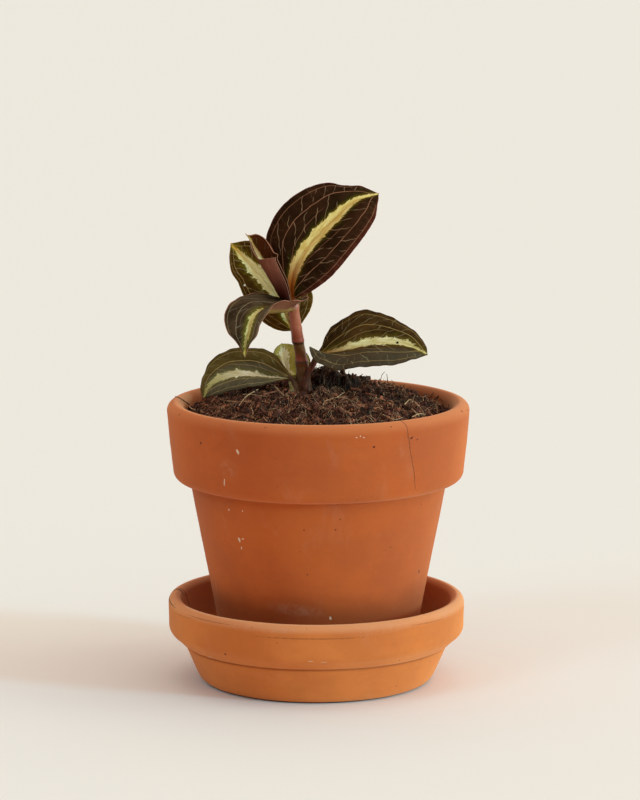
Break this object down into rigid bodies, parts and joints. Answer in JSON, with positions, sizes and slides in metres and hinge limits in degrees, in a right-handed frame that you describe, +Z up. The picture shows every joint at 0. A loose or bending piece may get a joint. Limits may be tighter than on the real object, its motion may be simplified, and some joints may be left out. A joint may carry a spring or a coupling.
{
  "type": "potted jewel orchid",
  "caption": "Small potted jewel orchid: a leaning stem with dark pale-striped leaves in a clay pot that stands on a deep clay saucer.",
  "frame": {"origin": "middle of the saucer's underside, where the whole plant stands on the surface", "axes": "+Z up, -Y towards the front from which the plant is pictured, +X to its right"},
  "size_m": [0.11, 0.11, 0.1813],
  "materials": {
    "saucer_clay": "unglazed terracotta, matt",
    "pot_clay": "unglazed terracotta, matt, slightly damp near the foot",
    "potting_mix": "loose coir and bark potting mix",
    "stem": "smooth fleshy stem, slightly glossy",
    "dark_leaf": "velvety dark leaf with a pale midrib band",
    "young_leaf": "smooth mauve underside of a rolled young leaf",
    "pale_leaf": "yellow-green leaf with a pale midrib band"
  },
  "bodies": {
    "root": {"saucer": "saucer_clay", "pot": "pot_clay", "soil": "potting_mix", "stem": "stem", "leaf_upright": "dark_leaf", "leaf_back": "dark_leaf", "leaf_drooping": "dark_leaf", "leaf_furled": "young_leaf", "leaf_low_left": "dark_leaf", "leaf_low_right": "dark_leaf", "leaf_small": "pale_leaf"}
  },
  "joints": []
}
